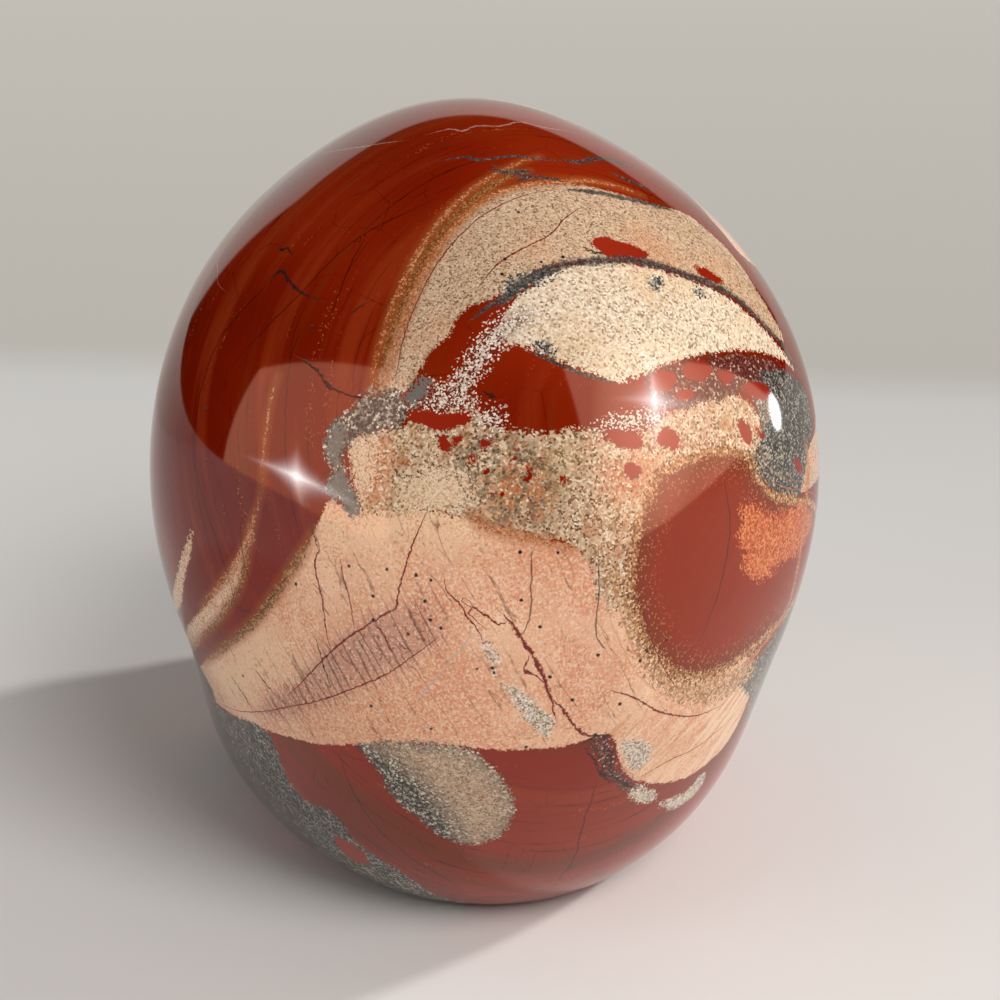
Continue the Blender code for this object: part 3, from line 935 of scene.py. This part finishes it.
seams = maths(tree, "MULTIPLY", hatched(strands, 1.3, 0.08), step(stored("beds"), 14.0, 24.0))
colour = over(colour, (56, 8, 2), share(seams, 0.8))
crazing = add_node(tree, "ShaderNodeTexVoronoi", {"Vector": place, "Scale": 0.16}, feature="DISTANCE_TO_EDGE")
crazing = step(maths(tree, "ADD", crazing.outputs["Distance"], share(shake, 0.06)), 0.046, 0.034)
colour = over(colour, (70, 12, 5), share(maths(tree, "MULTIPLY", crazing, step(patchy, 0.5, 0.4)), 0.5))
red_alone = colour

# The sands, each laid on with its own grain.
tan = grains(fine, stored("tan_sand"), 0.5)
tan_colour = ramp(fine[0], (0.0, 112, 88, 68), (0.14, 152, 122, 96), (0.3, 190, 156, 126),
                  (0.7, 206, 172, 140), (1.0, 224, 198, 168))
tan_colour = over(tan_colour, (206, 134, 92), share(step(patchy, 0.5, 0.72), 0.4))
colour = over(colour, tan_colour, tan)

cream = grains(coarse, stored("cream_sand"), 0.7)
cream_colour = ramp(coarse[0], (0.0, 134, 112, 92), (0.12, 180, 154, 128), (0.3, 214, 188, 158),
                    (0.7, 230, 208, 180), (1.0, 244, 230, 210))
cream_colour = over(cream_colour, (222, 176, 130), share(step(patchy, 0.48, 0.7), 0.35))
colour = over(colour, cream_colour, cream)

# The chert: fine orange and olive flecks, paler in its upper part, mauve and closely cracked between
# its two long red cracks, and drawn out in lines in the lobe.
chert = grains(fine, stored("pink_chert"), 0.3, 0.8)
chert_colour = ramp(patchy, (0.34, 238, 194, 158), (0.5, 230, 178, 144), (0.66, 220, 160, 126))
chert_colour = over(chert_colour, (240, 198, 160), share(step(stored("pale_chert"), -2.0, 2.0), 0.75))
mauve = step(stored("mauve_chert"), -1.0, 1.0)
chert_colour = over(chert_colour, (190, 140, 122), share(mauve, 0.8))
fleck_here = maths(tree, "MAXIMUM", step(stored("orange_chert"), -3.0, 2.0), step(cloud(0.16, 3.0), 0.42, 0.62))
chert_colour = over(chert_colour, (216, 150, 116), share(step(stored("orange_chert"), -3.0, 2.0), 0.5))
fleck = maths(tree, "MULTIPLY", step(grit, 0.51, 0.58), fleck_here)
chert_colour = over(chert_colour, (204, 106, 66), share(fleck, 0.56))
chert_colour = over(chert_colour, (240, 214, 186), share(step(grit, 0.46, 0.38), 0.6))
chert_colour = over(chert_colour, (158, 124, 88), share(step(cloud(2.1, 3.0), 0.58, 0.68), 0.55))
chert_colour = over(chert_colour, (112, 66, 56), share(maths(tree, "MULTIPLY", mauve, step(shake, 0.56, 0.64)), 0.6))
lobe = step(stored("lobe"), -1.0, 1.5)
flow = cloud(1.2, 2.0, laid=turned(36.0, 0.1))
chert_colour = over(chert_colour, (200, 132, 92), share(maths(tree, "MULTIPLY", step(flow, 0.54, 0.62), lobe), 0.5))
chert_colour = over(chert_colour, (240, 216, 186), share(maths(tree, "MULTIPLY", step(flow, 0.46, 0.38), lobe), 0.5))
cracks_run = turned(-61.0, 0.16)
close_cracks = maths(tree, "MULTIPLY", hatched(cracks_run, 1.0, 0.17, 3.5), step(stored("mauve_chert"), -2.5, 0.5))
far_cracks = maths(tree, "MULTIPLY", hatched(cracks_run, 3.0, 0.12, 4.0), maths(tree, "SUBTRACT", 1.0, lobe))
chert_colour = over(chert_colour, (94, 48, 38), share(close_cracks, 0.8))
chert_colour = over(chert_colour, (112, 62, 46), share(far_cracks, 0.75))
colour = over(colour, chert_colour, chert)

streak = grains(fine, stored("streak"), 0.6, 0.8)
colour = over(colour, ramp(fine[0], (0.0, 170, 116, 80), (0.4, 222, 176, 140), (1.0, 236, 208, 178)), streak)

brown = grains(coarse, stored("brown_sand"), 0.9, 0.8)
brown_colour = ramp(coarse[0], (0.0, 84, 62, 46), (0.13, 136, 98, 66), (0.32, 184, 148, 116),
                    (0.7, 208, 176, 145), (1.0, 236, 216, 190))
brown_colour = over(brown_colour, (176, 104, 60), share(step(mottle, 0.52, 0.66), 0.5))
brown_colour = over(brown_colour, (196, 166, 112), share(step(patchy, 0.48, 0.34), 0.25))
ochre = maths(tree, "MULTIPLY", step(stored("ochre_stain"), -1.0, 1.0), step(coarse[1], 0.3, 0.6))
brown_colour = over(brown_colour, (186, 98, 48), share(ochre, 0.75))
ore = maths(tree, "MULTIPLY", step(stored("ore_stain"), -2.0, 1.0), step(drift, 0.45, 0.55))
ore_colour = ramp(coarse[1], (0.0, 48, 44, 38), (0.6, 98, 88, 70), (1.0, 190, 164, 120))
brown_colour = over(brown_colour, ore_colour, share(ore, 0.7))
torn = maths(tree, "MULTIPLY", step(stored("ore_stain"), -1.0, 2.0), step(slow_shake, 0.62, 0.64))
brown_colour = over(brown_colour, (136, 26, 10), torn)
colour = over(colour, brown_colour, brown)
blob_colour = ramp(fine[0], (0.0, 190, 148, 112), (0.3, 224, 188, 154), (1.0, 238, 214, 186))
colour = over(colour, blob_colour, share(grains(fine, stored("pale_blob"), 2.2, 1.6), 0.85))

grey = grains(coarse, stored("grey_sand"), 0.8, 1.0)
grey_colour = ramp(coarse[0], (0.0, 50, 48, 46), (0.4, 80, 76, 71), (0.6, 122, 113, 101), (0.8, 174, 162, 144),
                   (1.0, 234, 222, 203))
grey_colour = over(grey_colour, (58, 56, 54), share(step(mottle, 0.5, 0.64), 0.55))
grey_colour = over(grey_colour, tan_colour, share(step(stored("tan_in_grey"), -1.5, 2.5), 0.74))
# Painted shade: the grey sand is painted darker low on the plus-X side and towards both sides of the stone.
grey_colour = over(grey_colour, (48, 46, 44), share(low_side_painted_shadow, 0.55))
grey_colour = over(grey_colour, (40, 38, 38), share(step(place_parts[0], -24.0, -34.0), 0.55))
grey_colour = over(grey_colour, (40, 38, 38), share(step(place_parts[0], 22.0, 30.0), 0.4))
colour = over(colour, grey_colour, grey)

# White specks thin out from the middle of a patch into the red beside it.
speckle_distance = stored("speckled")
colour = over(colour, (88, 46, 42), share(step(speckle_distance, -0.2, 1.0), 0.75))
speckles = maths(tree, "MULTIPLY_ADD", maths(tree, "MINIMUM", speckle_distance, 1.3), -0.36, 0.66)
specks = maths(tree, "MULTIPLY", maths(tree, "SUBTRACT", fine[0], speckles), 14.0, clamp=True)
speck_colour = ramp(fine[1], (0.0, 176, 140, 116), (0.4, 216, 194, 174), (1.0, 242, 232, 220))
colour = over(colour, speck_colour, specks)
white_colour = ramp(fine[0], (0.0, 112, 98, 86), (0.3, 178, 158, 138), (0.6, 214, 196, 174), (1.0, 238, 226, 210))
colour = over(colour, white_colour, grains(fine, stored("white_sand"), 0.8, 1.0))
smooth_grey = grains(fine, stored("smooth_grey"), 1.0, 0.8)
colour = over(colour, (112, 114, 108), share(smooth_grey, 0.9))
dark_bed = ramp(coarse[0], (0.0, 58, 30, 26), (0.7, 104, 50, 42), (0.9, 150, 110, 96), (1.0, 206, 180, 160))
colour = over(colour, dark_bed, share(grains(coarse, stored("dark_bed"), 0.8, 1.6), 0.9))

# The oval of red lies in a rim of brown sand, with fine rings of it in the chert outside. The islands
# lie in the sands as they are.
oval_distance = stored("red_oval")
shade_colour = ramp(coarse[0], (0.0, 92, 62, 38), (0.35, 152, 108, 68), (0.7, 200, 158, 116), (1.0, 228, 196, 160))
colour = over(colour, shade_colour, share(grains(coarse, stored("oval_shade"), 1.6, 2.0), 0.8))
ring_place = maths(tree, "MULTIPLY_ADD", mottle, 0.9, oval_distance)
ring_reach = maths(tree, "MULTIPLY", step(oval_distance, -5.0, -2.5), step(oval_distance, -1.2, -1.6))
rings = maths(tree, "MULTIPLY", step(maths(tree, "PINGPONG", ring_place, 0.55), 0.4, 0.5), ring_reach)
colour = over(colour, (186, 112, 72), share(rings, 0.5))
rim = grains(coarse, maths(tree, "ADD", oval_distance, 1.2), 0.9, 1.4)
colour = over(colour, ramp(coarse[0], (0.0, 92, 52, 28), (0.4, 150, 96, 56), (0.8, 194, 144, 100), (1.0, 224, 186, 146)), rim)
red_again = over(red_alone, (143, 45, 14), 0.75)
red_again = over(red_again, (104, 50, 22), share(step(oval_distance, 2.6, 0.0), 0.6))
rim_dust = maths(tree, "MULTIPLY", maths(tree, "GREATER_THAN", fine[1], 0.9), step(oval_distance, 4.0, 0.5))
red_again = over(red_again, (196, 140, 92), share(rim_dust, 0.6))
colour = over(colour, red_again, grains(fine, oval_distance, 0.7, 0.5))
islands = grains(fine, stored("red_islands"), 0.3, 0.9)
colour = over(colour, ramp(depth, (0.35, 134, 24, 8), (0.65, 150, 40, 20)), islands)
orange = grains(coarse, stored("orange_patch"), 1.6, 1.4)
colour = over(colour, ramp(coarse[0], (0.0, 158, 60, 24), (0.5, 190, 92, 46), (1.0, 214, 140, 88)), orange)

# The lines lie over everything, the grainy ones first.
for name, *stops in (
    ("umber_line", (0.0, 72, 44, 20), (0.5, 132, 84, 44), (1.0, 190, 144, 94)),
    ("rusty_line", (0.0, 138, 74, 38), (0.5, 186, 112, 68), (1.0, 220, 166, 120)),
):
    colour = over(colour, (158, 84, 40), share(step(stored(name + "_reach"), 0.9, 0.0), 0.5))
    layer = grains(fine, maths(tree, "MULTIPLY", stored(name + "_reach"), -1.0), 0.5, 0.3)
    colour = over(colour, ramp(fine[1], *stops), share(layer, 0.85))
grey_lines = ramp(fine[1], (0.0, 44, 42, 42), (0.7, 70, 66, 62), (1.0, 122, 112, 100))
colour = over(colour, grey_lines, share(line("grey_line", 2.4, shake), 0.9))
colour = over(colour, (190, 164, 154), share(line("pale_line", 4.0, shake), 0.6))
colour = over(colour, (46, 12, 6), share(line("fine_seam", 5.0, slow_shake), 0.75))
red_cracks = maths(tree, "MAXIMUM", line("red_crack", 4.0, shake), line("red_branch", 5.0, shake))
colour = over(colour, (116, 26, 16), red_cracks)
dark_cracks = line("dark_crack", 6.0, shake)
colour = over(colour, (40, 24, 20), dark_cracks)
spot_lengths = [vector_sum(tree, "LENGTH", stored(f"spots_{number}", "Vector"))["Value"] for number in range(3)]
spot_length = maths(tree, "MINIMUM", maths(tree, "MINIMUM", *spot_lengths[:2]), spot_lengths[2])
dark_spots = step(maths(tree, "MULTIPLY_ADD", shake, 0.3, spot_length), SPOT_RADIUS + 0.21, SPOT_RADIUS + 0.13)
colour = over(colour, (26, 20, 18), dark_spots)
tree.links.new(colour, shader.inputs["Base Color"])

# The polish is a mirror on the red and a little duller on the sands. Cracks and spots lie a hair lower.
sandy = maths(tree, "MAXIMUM", maths(tree, "MAXIMUM", tan, cream), maths(tree, "MAXIMUM", brown, grey))
sunken = maths(tree, "MAXIMUM", maths(tree, "MAXIMUM", dark_cracks, dark_spots), share(red_cracks, 0.5))
polish = maths(tree, "MULTIPLY_ADD", sandy, 0.02, 0.045)
polish = maths(tree, "MULTIPLY_ADD", mottle, 0.03, polish)
tree.links.new(maths(tree, "MULTIPLY_ADD", sunken, 0.3, polish), shader.inputs["Roughness"])
relief = add_node(tree, "ShaderNodeBump", {"Height": maths(tree, "SUBTRACT", 1.0, sunken),
                                           "Strength": 0.35, "Distance": 0.00004})
tree.links.new(relief.outputs["Normal"], shader.inputs["Normal"])
shader.inputs["IOR"].default_value = 1.45
skull_mesh.materials.append(jasper)

# The table: one wide pale board, painted matt. A hand's breadth behind the skull its colour turns
# into that of the plain wall, along a line that runs between two pixels at the photograph's sides.
TABLE_EDGE = ((0, 358), (1000, 388))
EDGE_SOFTNESS = 12.0
FAR_OFF = 900.0
NEAR_BY = 360.0


def on_table(across, down):
    """Where a pixel of the photograph falls on the table."""
    middle = PHOTO_SIZE / 2
    ray = photo_right * (across - middle) / PIXELS_PER_UNIT + photo_up * (middle - down) / PIXELS_PER_UNIT
    ray = ray - to_camera
    return eye - ray * eye[2] / ray[2]


edge_left, edge_right = (on_table(*pixel) for pixel in TABLE_EDGE)
edge_run = (edge_right - edge_left) / np.linalg.norm(edge_right - edge_left)
edge_away = np.cross((0.0, 0.0, 1.0), edge_run)
edge_distance = float(edge_left @ edge_away)
table_mesh = bpy.data.meshes.new("table")
board = bmesh.new()
bmesh.ops.create_grid(board, x_segments=1, y_segments=1, size=4.0)
bmesh.ops.translate(board, verts=board.verts, vec=(0.0, 0.0, -0.0001))
board.to_mesh(table_mesh)
board.free()
table = bpy.data.objects.new("table", table_mesh)
bpy.context.scene.collection.objects.link(table)
paint = bpy.data.materials.new("table_paint")
paint.use_nodes = True
tree = paint.node_tree
spot = add_node(tree, "ShaderNodeTexCoord").outputs["Object"]
behind = share(vector_sum(tree, "DOT_PRODUCT", spot, tuple(edge_away))["Value"], 1 / MM)
beyond = step(behind, edge_distance - EDGE_SOFTNESS, edge_distance + EDGE_SOFTNESS)
# Painted light: the board is painted lighter towards the camera, and the wall's colour lighter farther off, for the
# fall of the light.
farther_painted_light = ramp(step(behind, edge_distance, edge_distance + FAR_OFF), (0.0, 187, 184, 177), (1.0, 204, 201, 195))
nearer_painted_light = ramp(step(behind, edge_distance, edge_distance - NEAR_BY), (0.0, 199, 198, 196), (1.0, 238, 234, 231))
tree.links.new(over(nearer_painted_light, farther_painted_light, beyond), tree.nodes["Principled BSDF"].inputs["Base Color"])
tree.nodes["Principled BSDF"].inputs["Roughness"].default_value = 0.6
tree.nodes["Principled BSDF"].inputs["Specular IOR Level"].default_value = 0.0
table_mesh.materials.append(paint)

# Plain studio light. The lamps light the stone, and the room behind the camera is seen in its polish: a
# dark room with a wide pale screen to each side, a bright spot in each, and the pale wall beyond the
# table. Turns are from the camera, with the left as plus.
SOFT_LIGHT = 0.28
WALL = (196, 191, 183)
WALL_HALF_TURN = 32.0
WALL_RISE = 18.0
LEFT_SCREEN = {"turn": 26.0, "across": (0.36, 2.05), "up": (-0.3, 0.95), "glow": (3.0, 1.4, 0.9)}
RIGHT_SCREEN = {"turn": -28.0, "across": (-60.0, -0.30), "up": (-0.3, 1.15), "glow": (3.0, 1.9, 1.35)}
HALO = {"turn": -74.0, "rise": 21.0, "reach": 24.0, "glow": (8.4, 4.8, 3.4)}
FLASHES = (
    {"turn": 67.5, "rise": 4.8, "tilt": -6.0, "length": 22.0, "width": 10.0, "glow": 60.0},
    {"turn": -81.5, "rise": 23.5, "tilt": 35.0, "length": 26.0, "width": 20.0, "glow": 50.0},
)

camera_side = np.array((math.sin(CAMERA_TURN), math.cos(CAMERA_TURN), 0.0))


def towards(turn, rise):
    """The direction from the skull at a turn and a rise, in degrees."""
    turn, rise = math.radians(turn), math.radians(rise)
    level = math.cos(turn) * camera_side - math.sin(turn) * photo_right
    return level * math.cos(rise) + np.array((0.0, 0.0, math.sin(rise)))


world = bpy.data.worlds.new("room")
bpy.context.scene.world = world
world.use_nodes = True
world.cycles.sampling_method = "NONE"
tree = world.node_tree
background = tree.nodes["Background"]
looking = add_node(tree, "ShaderNodeTexCoord").outputs["Generated"]


def looking_along(direction):
    """How far the look goes along a direction, from -1 to 1."""
    return vector_sum(tree, "DOT_PRODUCT", looking, tuple(direction))["Value"]


def within(value, low, high, soft):
    """1 between low and high, with soft ends."""
    return maths(tree, "MULTIPLY", step(value, low - soft, low + soft), step(value, high + soft, high - soft))


def screen(seen, turn, across, up, glow):
    """Adds a wide upright screen. Its sides are given as shares of its distance."""
    ahead = maths(tree, "MAXIMUM", looking_along(towards(turn, 0.0)), 0.001)
    left = maths(tree, "DIVIDE", looking_along(towards(turn + 90.0, 0.0)), ahead)
    top = maths(tree, "DIVIDE", looking_along((0.0, 0.0, 1.0)), ahead)
    mask = maths(tree, "MULTIPLY", within(left, *across, 0.012), within(top, *up, 0.012))
    return add_node(tree, "ShaderNodeMix", {"Factor": mask, 6: seen, 7: (*glow, 1.0)}, data_type="RGBA").outputs[2]


def star(seen, turn, rise, tilt, length, width, glow):
    """Adds a bright flash with four rays. Its tilt, length and width are in degrees."""
    left, above = towards(turn + 90.0, 0.0), towards(turn, rise + 90.0)
    c, s = math.cos(math.radians(tilt)), math.sin(math.radians(tilt))
    near = 1.0
    for axis, reach in ((c * left + s * above, length), (c * above - s * left, width)):
        away = maths(tree, "ABSOLUTE", share(looking_along(axis), 1.0 / math.sin(math.radians(reach))))
        near = maths(tree, "SUBTRACT", near, maths(tree, "SQRT", away), clamp=True)
    near = maths(tree, "MULTIPLY", near, step(looking_along(towards(turn, rise)), 0.8, 0.9))
    near = maths(tree, "MULTIPLY", near, near)
    return add_node(tree, "ShaderNodeMix", {"Factor": near, 6: seen, 7: (glow, glow, glow, 1.0)},
                    data_type="RGBA").outputs[2]


seen = srgb(0, 0, 0)
seen = screen(seen, **LEFT_SCREEN)
seen = screen(seen, **RIGHT_SCREEN)
halo = step(looking_along(towards(HALO["turn"], HALO["rise"])), math.cos(math.radians(HALO["reach"])), 1.0)
seen = add_node(tree, "ShaderNodeMix", {"Factor": halo, 6: seen, 7: (*HALO["glow"], 1.0)}, data_type="RGBA").outputs[2]
for flash in FLASHES:
    seen = star(seen, **flash)
wall_edge = math.cos(math.radians(WALL_HALF_TURN))
wall = maths(tree, "MULTIPLY", step(looking_along(-camera_side), wall_edge - 0.01, wall_edge + 0.01),
             step(looking_along((0.0, 0.0, 1.0)), math.sin(math.radians(WALL_RISE + 0.6)),
                  math.sin(math.radians(WALL_RISE - 0.6))))
seen = over(seen, WALL, wall)
path = add_node(tree, "ShaderNodeLightPath").outputs
seen = over(seen, WALL, path["Is Camera Ray"])
soft = (SOFT_LIGHT, SOFT_LIGHT, SOFT_LIGHT, 1.0)
lit = add_node(tree, "ShaderNodeMix", {"Factor": path["Is Diffuse Ray"], 6: seen, 7: soft}, data_type="RGBA")
tree.links.new(lit.outputs[2], background.inputs["Color"])


def lamp_towards(name, kind, turn, rise, energy, mirrored):
    """A lamp that shines on the skull from a turn and a rise, and isn't seen by the camera."""
    lamp = bpy.data.lights.new(name, kind)
    lamp.energy = energy
    lamp.color = (1.0, 0.98, 0.955)
    made = bpy.data.objects.new(name, lamp)
    made.rotation_mode = "QUATERNION"
    made.rotation_quaternion = Vector(towards(turn, rise)).to_track_quat("Z", "Y")
    made.visible_camera = False
    made.visible_glossy = mirrored
    bpy.context.scene.collection.objects.link(made)
    return made


# Three large lamps far off, each with the angle that it fills.
for name, turn, rise, angle, energy in (
    ("left_light", 69.0, 20.0, 34.0, 0.40),
    ("high_light", -113.0, 24.0, 5.5, 2.1),
    ("fill", -36.0, 42.0, 33.0, 1.8),
):
    lamp_towards(name, "SUN", turn, rise, energy, False).data.angle = math.radians(angle)

# A small oval lamp close to the stone, seen in its polish at one pixel of the photograph.
GLINT = {"pixel": (775, 412), "turn": -117.4, "rise": -1.0, "away": 110.0, "width": 12.0, "height": 17.0}
glint = lamp_towards("glint", "AREA", GLINT["turn"], GLINT["rise"], 0.008, True)
glint.data.shape = "ELLIPSE"
glint.data.size = GLINT["width"] * MM
glint.data.size_y = GLINT["height"] * MM
struck, _ = on_stone([GLINT["pixel"]])
glint.location = Vector(struck[0] + towards(GLINT["turn"], GLINT["rise"]) * GLINT["away"]) * MM

bpy.context.scene.view_settings.view_transform = "Standard"
